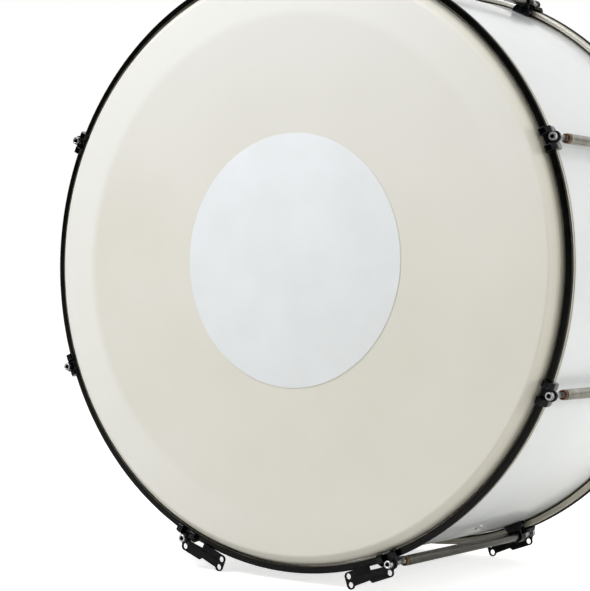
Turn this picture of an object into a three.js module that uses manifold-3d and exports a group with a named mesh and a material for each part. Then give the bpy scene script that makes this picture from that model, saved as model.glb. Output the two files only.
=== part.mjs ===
// A marching bass drum of 28 by 14 inches, in millimetres. X points to the right, Y runs along the
// drum's axis with the front head facing -Y, and Z points up. The drum stands on its four carrier
// plates, and the origin lies on the floor below the middle of the drum.
import * as THREE from 'three';
import { mergeVertices } from 'three/addons/utils/BufferGeometryUtils.js';
import Module from 'manifold-3d';

const wasm = await Module();
wasm.setup();

// Clearances and overruns
const fitGap = 0.3;
const boreClearance = 0.6;
const cutOverrun = 1;

// Shell
const shellDiameter = 711.2;
const shellDepth = 355.6;
const shellWall = 7.5;
const bevelDepth = 10;
const bevelWidth = 8.4;
const roundoverDepth = 6;
const roundoverWidth = 1.9;
const stiffenerWidth = 38;
const stiffenerWall = 5.5;
const stiffenerChamfer = 1.5;
const ventBore = 5;
const ventBarrelWall = 0.8;
const ventFlangeWidth = 2.2;
const ventFlangeThickness = 1.2;
const ventAt = 11;

// Heads
const filmThickness = 0.5;
const fleshHoopWidth = 8.6;
const fleshHoopHeight = 9;
const fleshHoopCorner = 1;
const mufflerWidth = 41.6;
const mufflerThickness = 0.5;
const mufflerInset = 0.7;
const patchDiameter = 302;
const patchThickness = 0.4;
const frontPatchRight = 8;
const frontPatchUp = 3.5;

// Counter hoops
const hoopRecess = 12.7;
const hoopClearance = 1.8;
const hoopWidth = 8.5;
const hoopThickness = 5.5;
const hoopCorner = 1.2;

// Tension screws, inserts and tubes
const screwStandOff = 5;
const screwShankDiameter = 6;
const screwShankLength = 50;
const screwHeadDiameter = 10;
const screwHeadHeight = 6;
const screwHeadCorner = 0.6;
const screwTipChamfer = 0.8;
const hexAcrossFlats = 5;
const hexDepth = 3;
const tubeDiameter = 12;
const tubeWall = 1;
const tubeSetBack = 33.1;
const insertCollarLength = 6;
const insertCollarDiameter = 11.4;
const insertCollarCorner = 0.8;
const insertPlugLength = 17;

// Claws
const clawWidth = 28;
const clawThickness = 4.2;
const clawFlangeThickness = 3.4;
const bossRadius = 6.7;
const wingLength = 12.8;
const wingThickness = 3.5;
const wingCorner = 4;
const wingSlot = 9.4;
const hookWidth = 8;
const hookSpacing = 20;
const hookThickness = 6.6;
const hookReach = 9.7;
const hookSlopeRun = 6;
const hookSlopeDrop = 4.2;
const blockWidth = 25;
const blockHeight = 14.6;
const blockLength = 19.2;
const footClearance = 0.6;
const blockCorner = 3;
const socketDepth = 6;
const barrelDiameter = 11;
const barrelLength = 9.8;

// Carrier plates: places are measured from the screw's axis, along the hoop and away from the drum
const plateThickness = 3;
const plateHole = 7;
const plateLobe = 5.2;
const plateNeck = 5.6;
const nearHoleAlong = 4.9;
const nearHoleOut = 9;
const farHoleAlong = 60;
const farHoleOut = -3.7;
const footHoleAlong = 60.6;
const footHoleOut = 6.5;
const notchLength = 29;
const notchEdge = -0.2;
const notchEndEdge = -1.8;
const shoulderEdge = -8.2;
const stepAlong = 31;
const stepRun = 3;
const stepOut = 13;
const farEdgeOut = 9.2;
const plateScrewShank = 14;

// Facets
const ringSteps = 72;
const rodSteps = 12;
const holeSteps = 16;
const noseSteps = 4;
const wingSteps = 3;
const lobeSteps = 4;
const hexSides = 6;
const mergeWithin = 1e-4;

// Places round the drum. The claws are clamped to the hoops by hand, so they stand a little unevenly:
// each place is a share of an even step, clockwise from the top as the front is looked at.
const stationShares = [0.5, 1.491, 2.483, 3.478, 4.522, 5.507, 6.535, 7.5];
const bottomStations = { 4: ['right', 1], 5: ['left', -1] };
const stationStep = 2 * Math.PI / stationShares.length;
const ventStep = 30.5;

// Radii and distances from the middle of the drum that the sizes above give
const shellRadius = shellDiameter / 2;
const shellFlatRadius = shellRadius * Math.cos(Math.PI / ringSteps);
const ventAngle = ventStep * 2 * Math.PI / ringSteps;
const filmInnerRadius = shellRadius + fitGap;
const filmOuterRadius = filmInnerRadius + filmThickness;
const rimInnerRadius = filmOuterRadius + fitGap;
const fleshHoopRadius = rimInnerRadius + fleshHoopWidth;
const hoopInnerRadius = rimInnerRadius + hoopClearance;
const hoopRadius = hoopInnerRadius + hoopWidth;
const screwRadius = hoopRadius + screwStandOff;
const clawInnerRadius = hoopRadius + fitGap;
const crestAt = shellDepth / 2;
const bevelFootRadius = shellRadius - roundoverWidth;
const crestRadius = bevelFootRadius - bevelWidth;
const bevelFootAt = crestAt - bevelDepth;
const roundoverEndAt = bevelFootAt - roundoverDepth;
const shellInnerRadius = shellRadius - shellWall;
const stiffenerOuterRadius = shellInnerRadius - fitGap;
const stiffenerInnerRadius = stiffenerOuterRadius - stiffenerWall;
const hoopFaceAt = crestAt - hoopRecess;
const hoopBackAt = hoopFaceAt - hoopThickness;
const fleshHoopFaceAt = hoopBackAt - fitGap;
const fleshHoopBackAt = fleshHoopFaceAt - fleshHoopHeight;
const plateBackAt = hoopFaceAt + fitGap;
const plateFaceAt = plateBackAt + plateThickness;
const insertFaceAt = hoopFaceAt + screwHeadHeight - tubeSetBack;
const tubeFrontAt = insertFaceAt - insertCollarLength;
const blockFrontAt = hoopBackAt - fitGap - blockLength;
const tubeBackAt = blockFrontAt + socketDepth - fitGap;
const barrelEndAt = hoopFaceAt + barrelLength;
const rearPlateBackAt = barrelEndAt + fitGap;
const plateScrewSeatAt = rearPlateBackAt + plateThickness + fitGap;
const plateScrewTipAt = plateScrewSeatAt - plateScrewShank;
const bottomAngle = Math.PI - stationShares[3] * stationStep;
const footDrop = (screwRadius + footHoleOut) * Math.cos(bottomAngle)
    + footHoleAlong * Math.sin(bottomAngle) + plateLobe;
const patchBackAt = crestAt + fitGap + filmThickness + fitGap;
const frontReach = patchBackAt + patchThickness;
const rearReach = plateScrewSeatAt + screwHeadHeight;

function toSolid(geometry) {
    const bare = new THREE.BufferGeometry();
    const source = geometry.index ? geometry.toNonIndexed() : geometry;
    bare.setAttribute('position', source.getAttribute('position'));
    const merged = mergeVertices(bare, mergeWithin);
    const corners = merged.index.array;
    const kept = [];
    for (let i = 0; i < corners.length; i += 3) {
        const [a, b, c] = corners.slice(i, i + 3);
        if (a !== b && b !== c && c !== a) kept.push(a, b, c);
    }
    return new wasm.Manifold(new wasm.Mesh({
        numProp: 3,
        vertProperties: merged.getAttribute('position').array,
        triVerts: new Uint32Array(kept),
    }));
}

function toGeometry(solid) {
    const mesh = solid.getMesh();
    const geometry = new THREE.BufferGeometry();
    geometry.setAttribute('position', new THREE.BufferAttribute(mesh.vertProperties, 3));
    geometry.setIndex(new THREE.BufferAttribute(mesh.triVerts, 1));
    const flat = geometry.toNonIndexed();
    flat.computeVertexNormals();
    return flat;
}

function carve(added, removed = []) {
    let solid = toSolid(added[0]);
    for (const geometry of added.slice(1)) solid = solid.add(toSolid(geometry));
    for (const geometry of removed) solid = solid.subtract(toSolid(geometry));
    return toGeometry(solid);
}

// A profile of [radius, distance along the axis] points, turned round the Y axis. The points run so
// that the axis side lies on their left; a ring's profile closes on itself.
function revolve(profile, steps) {
    const points = profile.map(([radius, along]) => new THREE.Vector2(radius, along));
    return new THREE.LatheGeometry(points, steps);
}

function revolveRing(profile, steps) {
    return revolve([...profile, profile[0]], steps);
}

// The front side's profile, turned over for the rear side
function onSide(side, profile) {
    const placed = profile.map(([radius, along]) => [radius, side * along]);
    return side > 0 ? placed : placed.reverse();
}

// A rod along Y round the point (x, z), between two distances along the axis
function rod(radius, from, to, x, z, steps = rodSteps) {
    const low = Math.min(from, to);
    const high = Math.max(from, to);
    const geometry = new THREE.CylinderGeometry(radius, radius, high - low, steps);
    return geometry.translate(x, (low + high) / 2, z);
}

// An outline in X and Z, extruded along Y between two distances
function slab(points, from, to, holes = []) {
    const low = Math.min(from, to);
    const high = Math.max(from, to);
    const shape = new THREE.Shape(points);
    shape.holes = holes.map((hole) => new THREE.Path(hole));
    const geometry = new THREE.ExtrudeGeometry(shape, { depth: high - low, bevelEnabled: false });
    return geometry.rotateX(Math.PI / 2).translate(0, high, 0);
}

// A rectangle in X and Z that is as wide on both sides of the station's middle
function band(half, low, high) {
    return [
        new THREE.Vector2(-half, low), new THREE.Vector2(half, low),
        new THREE.Vector2(half, high), new THREE.Vector2(-half, high),
    ];
}

// An outline in Y and Z, extruded along X by a width and centred on x
function rib(points, width, x) {
    const shape = new THREE.Shape(points);
    const geometry = new THREE.ExtrudeGeometry(shape, { depth: width, bevelEnabled: false });
    const turned = new THREE.Matrix4().makeBasis(
        new THREE.Vector3(0, 1, 0), new THREE.Vector3(0, 0, 1), new THREE.Vector3(1, 0, 0));
    return geometry.applyMatrix4(turned).translate(x - width / 2, 0, 0);
}

function arc(x, z, radius, from, to, steps) {
    const points = [];
    for (let i = 0; i <= steps; i += 1) {
        const angle = from + (to - from) * i / steps;
        points.push(new THREE.Vector2(x + radius * Math.cos(angle), z + radius * Math.sin(angle)));
    }
    return points;
}

function circle(x, z, radius, steps = holeSteps) {
    return arc(x, z, radius, 0, 2 * Math.PI * (steps - 1) / steps, steps - 1);
}

function mirrored(points) {
    return points.map((point) => new THREE.Vector2(-point.x, point.y)).reverse();
}

function material(color, roughness, metalness) {
    return () => new THREE.MeshStandardMaterial({ color, roughness, metalness });
}

const whiteLacquer = material(0xe9ebeb, 0.25, 0);
const bareMaple = material(0xc9a878, 0.7, 0);
const creamFilm = material(0xdedcd0, 0.45, 0);
const paleFilm = material(0xe6e9ec, 0.5, 0);
const blackEnamel = material(0x1b1b19, 0.35, 0.4);
const blackCasting = material(0x17181a, 0.4, 0.5);
const satinAluminium = material(0xb9b6aa, 0.35, 1);
const satinTube = material(0xa6a7a4, 0.3, 1);
const copperBrass = material(0xb07a52, 0.3, 1);
const brightSteel = material(0xd6d7d8, 0.2, 1);

const drum = new THREE.Group();
const axis = new THREE.Group();
axis.position.set(0, (frontReach - rearReach) / 2, footDrop);
drum.add(axis);

function place(parent, name, geometry, finish) {
    const mesh = new THREE.Mesh(geometry, finish());
    mesh.name = name;
    parent.add(mesh);
    return mesh;
}

// How far along the axis the bevel of the bearing edge lies at a radius
function bevelAt(radius) {
    return crestAt - (radius - crestRadius) * bevelDepth / bevelWidth;
}

// The shell is a wooden tube with a stiffening ring inside each end. The bearing edge is cut across
// both: its crest lies on the ring, and its bevel falls to a steep roundover on the shell's outer face.
function shell() {
    const endAt = bevelAt(shellInnerRadius);
    const profile = [
        [shellInnerRadius, -endAt], [bevelFootRadius, -bevelFootAt], [shellRadius, -roundoverEndAt],
        [shellRadius, roundoverEndAt], [bevelFootRadius, bevelFootAt], [shellInnerRadius, endAt],
    ];
    const bore = ventBore / 2 + ventBarrelWall + fitGap;
    const vent = rod(bore, -shellWall - fitGap - cutOverrun, cutOverrun, 0, 0, holeSteps);
    return carve([revolveRing(profile, ringSteps)], [atVent(vent)]);
}

// Takes a form built round the Y axis with the shell's outer face at zero to its place in the shell
function atVent(geometry) {
    return geometry.rotateX(Math.PI / 2).translate(0, ventAt, shellFlatRadius).rotateY(ventAngle);
}

// The eyelet lines the air vent. Its flange lies on the shell's outer face, and its barrel passes
// through the wall.
function ventEyelet() {
    const bore = ventBore / 2;
    const barrel = bore + ventBarrelWall;
    const flange = barrel + ventFlangeWidth;
    const low = -shellWall - fitGap;
    const profile = [
        [bore, low], [barrel, low], [barrel, fitGap], [flange, fitGap],
        [flange, fitGap + ventFlangeThickness / 2], [barrel, fitGap + ventFlangeThickness],
        [bore, fitGap + ventFlangeThickness],
    ];
    return atVent(revolveRing(profile, holeSteps));
}

function stiffeningRing(side) {
    const low = crestAt - stiffenerWidth;
    const profile = [
        [stiffenerInnerRadius, low], [stiffenerOuterRadius, low],
        [stiffenerOuterRadius, bevelAt(stiffenerOuterRadius)], [crestRadius, crestAt],
        [stiffenerInnerRadius, crestAt - stiffenerChamfer],
    ];
    return revolveRing(onSide(side, profile), ringSteps);
}

// The film is flat over the crest of the shell, follows the bevel and its roundover, and ends inside
// the flesh hoop.
function headFilm(side) {
    const under = crestAt + fitGap;
    const over = under + filmThickness;
    const footRadius = bevelFootRadius + fitGap;
    const footAt = bevelFootAt + fitGap;
    const profile = [
        [0, under], [crestRadius, under], [footRadius, footAt], [filmInnerRadius, roundoverEndAt],
        [filmInnerRadius, fleshHoopBackAt], [filmOuterRadius, fleshHoopBackAt],
        [filmOuterRadius, roundoverEndAt], [footRadius + filmThickness, footAt + filmThickness],
        [crestRadius + filmThickness, over], [0, over],
    ];
    return revolve(onSide(side, profile), ringSteps);
}

function fleshHoop(side) {
    const low = fleshHoopBackAt;
    const high = fleshHoopFaceAt;
    const profile = [
        [rimInnerRadius, low], [fleshHoopRadius - fleshHoopCorner, low],
        [fleshHoopRadius, low + fleshHoopCorner], [fleshHoopRadius, high], [rimInnerRadius, high],
    ];
    return revolveRing(onSide(side, profile), ringSteps);
}

// A ring of thin film lies against the underside of the head and damps its edge.
function mufflingRing(side) {
    const outer = stiffenerInnerRadius - mufflerInset;
    const inner = outer - mufflerWidth;
    const low = crestAt - mufflerThickness;
    const profile = [[inner, low], [outer, low], [outer, crestAt], [inner, crestAt]];
    return revolveRing(onSide(side, profile), ringSteps);
}

// The front patch was stuck on a little off the middle.
function centrePatch(side) {
    const low = patchBackAt;
    const high = low + patchThickness;
    const edge = patchDiameter / 2;
    const disc = revolve(onSide(side, [[0, low], [edge, low], [edge, high], [0, high]]), ringSteps);
    return side < 0 ? disc.translate(frontPatchRight, 0, frontPatchUp) : disc;
}

function counterHoop(side) {
    const corner = hoopCorner;
    const profile = [
        [hoopInnerRadius, hoopBackAt], [hoopRadius - corner, hoopBackAt],
        [hoopRadius, hoopBackAt + corner], [hoopRadius, hoopFaceAt - corner],
        [hoopRadius - corner, hoopFaceAt], [hoopInnerRadius, hoopFaceAt],
    ];
    return revolveRing(onSide(side, profile), ringSteps);
}

// A finger that comes over the hoop's edge and lies on its face, as an outline in Y and Z
function hookOutline(side, start) {
    const face = hoopFaceAt + fitGap;
    const front = face + hookThickness;
    const outer = clawInnerRadius + clawThickness;
    const nose = hookThickness / 2;
    const points = [
        new THREE.Vector2(start, clawInnerRadius), new THREE.Vector2(face, clawInnerRadius),
        ...arc(face + nose, clawInnerRadius - hookReach + nose, nose, Math.PI, 2 * Math.PI, noseSteps),
        new THREE.Vector2(front, outer - hookSlopeDrop), new THREE.Vector2(front - hookSlopeRun, outer),
        new THREE.Vector2(start, outer),
    ];
    return side > 0 ? points : mirrored(points);
}

// A tongue that lies flat beside the hoop and reaches towards the shell, with its far end rounded
function wing(width, x) {
    const half = width / 2;
    const endAt = wingLength - hoopFaceAt;
    const inset = half - wingCorner;
    const quarter = Math.PI / 2;
    const shape = new THREE.Shape([
        new THREE.Vector2(-half, -hoopFaceAt), new THREE.Vector2(half, -hoopFaceAt),
        ...arc(inset, endAt - wingCorner, wingCorner, 0, quarter, wingSteps),
        ...arc(-inset, endAt - wingCorner, wingCorner, quarter, 2 * quarter, wingSteps),
    ]);
    const geometry = new THREE.ExtrudeGeometry(shape, { depth: wingThickness, bevelEnabled: false });
    return geometry.translate(x, 0, clawInnerRadius);
}

// The front claw: a flange beside the hoop with a round boss for the screw, two hook fingers and two
// wings that reach back over the flesh hoop.
function frontClaw() {
    const backAt = hoopFaceAt - clawFlangeThickness;
    const outer = clawInnerRadius + clawThickness;
    const half = clawWidth / 2;
    const added = [
        slab(band(half, clawInnerRadius, outer), -backAt, -hoopFaceAt),
        rod(bossRadius, -backAt, -hoopFaceAt, 0, screwRadius, holeSteps),
    ];
    const hook = hookOutline(-1, backAt);
    for (const x of [-hookSpacing / 2, hookSpacing / 2]) added.push(rib(hook, hookWidth, x));
    const wingWidth = (clawWidth - wingSlot) / 2;
    const wingAt = (clawWidth + wingSlot) / 4;
    for (const x of [-wingAt, wingAt]) added.push(wing(wingWidth, x));
    const bore = (screwShankDiameter + boreClearance) / 2;
    // The hoop passes straight under the claw, so the boss is cut level with the claw's inner face
    const underClaw = band(half, clawInnerRadius - bossRadius, clawInnerRadius);
    return carve(added, [
        slab(underClaw, -backAt + cutOverrun, -hoopFaceAt - fitGap / 2),
        rod(bore, -backAt + cutOverrun, -hoopFaceAt - cutOverrun, 0, screwRadius),
    ]);
}

// The rear claw: a block that holds the tube's end and has a foot on the shell, a web beside the hoop
// with two hook fingers, and a barrel in line with the tube.
function rearClaw() {
    const half = blockWidth / 2;
    const blockInner = fleshHoopRadius + fitGap;
    const blockOuter = blockInner + blockHeight;
    const corner = blockCorner;
    const blockOutline = (inner) => [
        new THREE.Vector2(-half, inner), new THREE.Vector2(half, inner),
        new THREE.Vector2(half, blockOuter - corner), new THREE.Vector2(half - corner, blockOuter),
        new THREE.Vector2(-half + corner, blockOuter), new THREE.Vector2(-half, blockOuter - corner),
    ];
    const webBackAt = blockFrontAt + blockLength;
    const footBackAt = fleshHoopBackAt - footClearance;
    const added = [
        slab(blockOutline(shellRadius + footClearance), blockFrontAt, footBackAt),
        slab(blockOutline(blockInner), footBackAt - cutOverrun, webBackAt),
        slab(blockOutline(clawInnerRadius), webBackAt - cutOverrun, hoopFaceAt),
        rod(barrelDiameter / 2, hoopFaceAt - cutOverrun, barrelEndAt, 0, screwRadius, holeSteps),
    ];
    const hook = hookOutline(1, webBackAt);
    for (const x of [-hookSpacing / 2, hookSpacing / 2]) added.push(rib(hook, hookWidth, x));
    const socket = (tubeDiameter + boreClearance) / 2;
    const bore = (screwShankDiameter + boreClearance) / 2;
    const boreEnd = plateScrewTipAt - boreClearance;
    const underClaw = band(half, clawInnerRadius - barrelDiameter, clawInnerRadius);
    return carve(added, [
        slab(underClaw, webBackAt, hoopFaceAt + fitGap),
        rod(socket, blockFrontAt - cutOverrun, blockFrontAt + socketDepth, 0, screwRadius),
        rod(bore, boreEnd, barrelEndAt + cutOverrun, 0, screwRadius),
    ]);
}

// A cap screw along Y. Its head faces away from the drum, and its seat is the underside of the head.
function capScrew(side, seatAt, shankLength) {
    const shank = screwShankDiameter / 2;
    const head = screwHeadDiameter / 2;
    const tipAt = seatAt - shankLength;
    const topAt = seatAt + screwHeadHeight;
    const profile = [
        [0, tipAt], [shank - screwTipChamfer, tipAt], [shank, tipAt + screwTipChamfer], [shank, seatAt],
        [head, seatAt], [head, topAt - screwHeadCorner], [head - screwHeadCorner, topAt], [0, topAt],
    ];
    const body = revolve(onSide(side, profile), rodSteps);
    const keyRadius = hexAcrossFlats / 2 / Math.cos(Math.PI / hexSides);
    const key = rod(keyRadius, side * (topAt - hexDepth), side * (topAt + cutOverrun), 0, 0, hexSides);
    return carve([body], [key]).translate(0, 0, screwRadius);
}

// The brass insert: a collar in front of the tube and a plug inside it, bored for the screw
function threadedInsert() {
    const bore = (screwShankDiameter + boreClearance) / 2;
    const plug = tubeDiameter / 2 - tubeWall - fitGap;
    const collar = insertCollarDiameter / 2;
    const backAt = tubeFrontAt - insertPlugLength;
    const profile = [
        [bore, backAt], [plug, backAt], [plug, tubeFrontAt + fitGap], [collar, tubeFrontAt + fitGap],
        [collar, insertFaceAt - insertCollarCorner], [collar - insertCollarCorner, insertFaceAt],
        [bore, insertFaceAt],
    ];
    return revolveRing(onSide(-1, profile), rodSteps).translate(0, 0, screwRadius);
}

function tensionTube() {
    const outer = tubeDiameter / 2;
    const inner = outer - tubeWall;
    const profile = [
        [inner, -tubeFrontAt], [outer, -tubeFrontAt], [outer, tubeBackAt], [inner, tubeBackAt],
    ];
    return revolveRing(profile, rodSteps).translate(0, 0, screwRadius);
}

// A flat carrier plate. Its neck goes round the screw between the two hook fingers, and its far end
// has two lobes, of which the outer one is the drum's foot. way is +1 where it runs clockwise.
function carrierPlate(side, way) {
    const quarter = Math.PI / 2;
    const footEnd = Math.PI - Math.asin((farEdgeOut - footHoleOut) / plateLobe);
    const at = (along, out) => new THREE.Vector2(along, screwRadius + out);
    const outline = [
        ...arc(0, screwRadius, plateNeck, 2 * quarter, 4 * quarter, 2 * lobeSteps),
        at(plateNeck, notchEdge),
        at(clawWidth / 2 + fitGap, notchEdge),
        at(notchLength, notchEndEdge),
        at(notchLength, shoulderEdge),
        ...arc(farHoleAlong, screwRadius + farHoleOut, plateLobe, -quarter, 0, lobeSteps),
        ...arc(footHoleAlong, screwRadius + footHoleOut, plateLobe, 0, footEnd, 2 * lobeSteps),
        at(stepAlong + stepRun, farEdgeOut),
        at(stepAlong, stepOut),
        ...arc(nearHoleAlong, screwRadius + nearHoleOut, plateLobe, quarter, 2 * quarter, lobeSteps),
    ];
    const holes = [
        circle(0, screwRadius, (screwShankDiameter + boreClearance) / 2),
        circle(nearHoleAlong, screwRadius + nearHoleOut, plateHole / 2),
        circle(farHoleAlong, screwRadius + farHoleOut, plateHole / 2),
        circle(footHoleAlong, screwRadius + footHoleOut, plateHole / 2),
    ];
    const seatAt = side < 0 ? plateBackAt : rearPlateBackAt;
    const from = side * seatAt;
    const to = side * (seatAt + plateThickness);
    const turned = (points) => (way > 0 ? points : mirrored(points));
    return slab(turned(outline), from, to, holes.map(turned));
}

// Shell and heads
place(axis, 'shell', shell(), whiteLacquer);
place(axis, 'vent_eyelet', ventEyelet(), brightSteel);
for (const [end, side] of [['front', -1], ['rear', 1]]) {
    place(axis, `${end}_stiffening_ring`, stiffeningRing(side), bareMaple);
    place(axis, `${end}_head_film`, headFilm(side), creamFilm);
    place(axis, `${end}_flesh_hoop`, fleshHoop(side), satinAluminium);
    place(axis, `${end}_muffling_ring`, mufflingRing(side), paleFilm);
    place(axis, `${end}_centre_patch`, centrePatch(side), paleFilm);
    place(axis, `${end}_counter_hoop`, counterHoop(side), blackEnamel);
}

// Each tension line has a group that is turned about the drum's axis. Inside it X runs along the hoop,
// clockwise, and Z away from the axis.
for (const [index, share] of stationShares.entries()) {
    const number = index + 1;
    const station = new THREE.Group();
    station.rotation.y = share * stationStep;
    axis.add(station);
    const bottom = bottomStations[number];
    const seatAt = fitGap + (bottom ? plateFaceAt : hoopFaceAt);
    place(station, `front_claw_${number}`, frontClaw(), blackCasting);
    place(station, `rear_claw_${number}`, rearClaw(), blackCasting);
    place(station, `tension_tube_${number}`, tensionTube(), satinTube);
    place(station, `threaded_insert_${number}`, threadedInsert(), copperBrass);
    place(station, `tension_screw_${number}`, capScrew(-1, seatAt, screwShankLength), brightSteel);
    if (bottom) {
        const [hand, way] = bottom;
        place(station, `front_${hand}_carrier_plate`, carrierPlate(-1, way), blackCasting);
        place(station, `rear_${hand}_carrier_plate`, carrierPlate(1, way), blackCasting);
        const plateScrew = capScrew(1, plateScrewSeatAt, plateScrewShank);
        place(station, `rear_${hand}_plate_screw`, plateScrew, brightSteel);
    }
}

export default drum;
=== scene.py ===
"""A marching bass drum in its finishes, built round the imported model.

Sizes are in millimetres. X points to the right, Y runs along the drum's axis with the front head
facing -Y, and Z points up. Distances called "at" are measured outward from the middle of the drum
along its axis, so they hold for the front and the rear alike.
"""
import math

import bmesh
import bpy
from mathutils import Matrix, Vector


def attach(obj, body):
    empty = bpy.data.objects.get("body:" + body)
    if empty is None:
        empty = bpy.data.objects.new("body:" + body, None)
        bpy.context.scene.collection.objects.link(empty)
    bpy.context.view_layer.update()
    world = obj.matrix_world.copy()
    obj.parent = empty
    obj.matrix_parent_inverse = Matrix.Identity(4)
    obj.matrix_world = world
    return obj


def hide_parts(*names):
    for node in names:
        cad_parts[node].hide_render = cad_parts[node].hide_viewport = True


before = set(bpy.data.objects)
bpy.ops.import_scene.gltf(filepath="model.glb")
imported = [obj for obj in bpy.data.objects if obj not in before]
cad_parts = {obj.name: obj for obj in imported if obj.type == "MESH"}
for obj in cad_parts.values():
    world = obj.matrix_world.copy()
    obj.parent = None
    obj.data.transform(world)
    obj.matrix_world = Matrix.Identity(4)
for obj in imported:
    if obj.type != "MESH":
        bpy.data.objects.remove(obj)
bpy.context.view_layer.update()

MM = 0.001
FRONT, REAR = -1, 1
ENDS = (("front", FRONT), ("rear", REAR))

# The drum's place
AXIS_Y = -2.6
AXIS_HEIGHT = 376.488
AXIS = Vector((0, AXIS_Y * MM, AXIS_HEIGHT * MM))

# Shell and bearing edge
SHELL_RADIUS = 355.6
SHELL_BORE = 348.1
CREST_AT = 177.8
CREST_RADIUS = 345.3
BEVEL_FOOT_RADIUS = 353.7
BEVEL_FOOT_AT = 167.8
ROUNDOVER_AT = 161.8
BEVEL_SLOPE = (CREST_AT - BEVEL_FOOT_AT) / (BEVEL_FOOT_RADIUS - CREST_RADIUS)
STIFFENER_OUTER = 347.8
STIFFENER_INNER = 342.3
STIFFENER_WIDTH = 38
VENT_ANGLE = math.radians(152.5)
VENT_AT = 11
VENT_FLAT_RADIUS = SHELL_RADIUS * math.cos(math.radians(2.5))
VENT_BORE = 2.5
VENT_BARREL = 3.3
VENT_FLANGE = 5.5
VENT_FLANGE_TOP = 1.5
VENT_END = 7.8

# Heads
FILM = 0.5
FIT = 0.3
COLLAR_INNER = SHELL_RADIUS + FIT
COLLAR_OUTER = COLLAR_INNER + FILM
FLESH_HOOP_BACK = 150.3
FLESH_HOOP_FACE = 159.3
FLESH_HOOP_RADIUS = 365.3
RIM_INNER = 356.7
CHANNEL_GAP = RIM_INNER + 2
CHANNEL_FLOOR = 155
GROOVE_AT = 153.15
GROOVE_STEP = 4
GROOVE_DEPTH = 0.5
GROOVE_FLOOR_HALF = 0.35
GROOVE_MOUTH_HALF = 0.65
MUFFLER_OUTER = 341.6
MUFFLER_INNER = 300
PATCH_RADIUS = 151
PATCH_BACK = 178.9
PATCH_FACE = 179.3
FRONT_PATCH_OFF = Vector((8, 0, 3.5)) * MM

# Counter hoops
HOOP_INNER = 358.5
HOOP_RADIUS = 367
HOOP_BACK = 159.6
HOOP_FACE = 165.1

# Tension lines
SCREW_RADIUS = 372
SCREW_LINE = Vector((0, 0, SCREW_RADIUS * MM))
SCREW_SEAT = HOOP_FACE + FIT
SCREW_SHANK = 50
SHANK = 3
HEAD_RADIUS = 5
HEAD_HEIGHT = 6
HEX_APOTHEM = 2.5
HEX_DEPTH = 3
TIP_RADIUS = 2.1
THREAD_LENGTH = 24
THREAD_PITCH = 1
THREAD_DEPTH = 0.55
KNURL_DEPTH = 0.16
KNURL_RIBS = 24
INSERT_FACE = 138
TUBE_FRONT = 132
TUBE_BACK = 145.8
TUBE_RADIUS = 6
INSERT_PLUG = 17
PLUG_RADIUS = 4.7
COLLAR_RADIUS = 5.7
SCREW_BORE = 3.3
# Painted shade darkens the tubes that lie lower than this, as dark reflections from below.
LOW_TUBE_SHADE = 0.68
LOW_TUBE_TOP = 120

# Claws
CLAW_INNER = HOOP_RADIUS + FIT
CLAW_OUTER = CLAW_INNER + 4.2
CLAW_HALF = 14
FLANGE_BACK = HOOP_FACE - 3.4
BOSS_RADIUS = 6.7
WING_END = HOOP_FACE - 12.8
WING_OUTER = CLAW_INNER + 3.5
WING_HALF = 4.65
WING_MIDDLE = 9.35
WING_CORNER = 4
# Painted sheen on the front claw's wings
WING_PAINTED_SHEEN = 0.55
HOOK_MIDDLE = 10
HOOK_HALF = 4
HOOK_THICKNESS = 6.6
HOOK_REACH = 9.7
HOOK_SLOPE_RUN = 6
HOOK_SLOPE_DROP = 4.2
BLOCK_HALF = 12.5
BLOCK_FRONT = 140.1
BLOCK_BACK = 151.5
FOOT_INNER = SHELL_RADIUS + 0.6
FOOT_BACK = 149.7
BLOCK_INNER = FLESH_HOOP_RADIUS + FIT
SOCKET_RING = 8.1
SOCKET_DEPTH = 6
BARREL_RADIUS = 4.2
CAP_RADIUS = 5.5
CAP_FRONT = 168
BARREL_END = 174.9
CAST_VOXEL = 0.34
CAST_KEEP = 0.16
CAST_SMOOTH = 38

# Carrier plates
PLATE = 3
REAR_PLATE_BACK = BARREL_END + FIT
PLATE_SCREW_SEAT = REAR_PLATE_BACK + PLATE + FIT
PLATE_SCREW_SHANK = 14
PLATE_THREAD_LENGTH = 11
PLATE_RIM = 0.45
PLATE_SMOOTH = 35

# Tension lines round the drum, as shares of an eighth of a turn clockwise from the top
STATION_SHARES = (0.5, 1.491, 2.483, 3.478, 4.522, 5.507, 6.535, 7.5)
STATIONS = [share * math.tau / 8 for share in STATION_SHARES]
ALL_STATIONS = range(1, 9)
BOTTOM_STATIONS = {4: ("right", 1), 5: ("left", -1)}
RING_STEPS = 192


def add(tree, kind, inputs=None, **settings):
    """Adds a node with its settings. Its inputs take values, other nodes, or one of their outputs."""
    node = tree.nodes.new(kind)
    for name, value in settings.items():
        setattr(node, name, value)
    for key, value in (inputs or {}).items():
        socket = node.inputs[key]
        if isinstance(value, bpy.types.Node):
            value = next(output for output in value.outputs if output.enabled)
        if isinstance(value, bpy.types.NodeSocket):
            tree.links.new(value, socket)
        else:
            socket.default_value = value
    return node


def srgb(code):
    """A hex colour as it looks on a screen, turned to the linear colour that a shader reads."""
    shares = [int(code[i:i + 2], 16) / 255 for i in (1, 3, 5)]
    linear = [s / 12.92 if s <= 0.04045 else ((s + 0.055) / 1.055) ** 2.4 for s in shares]
    return (*linear, 1)


# camera, light and floor

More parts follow.
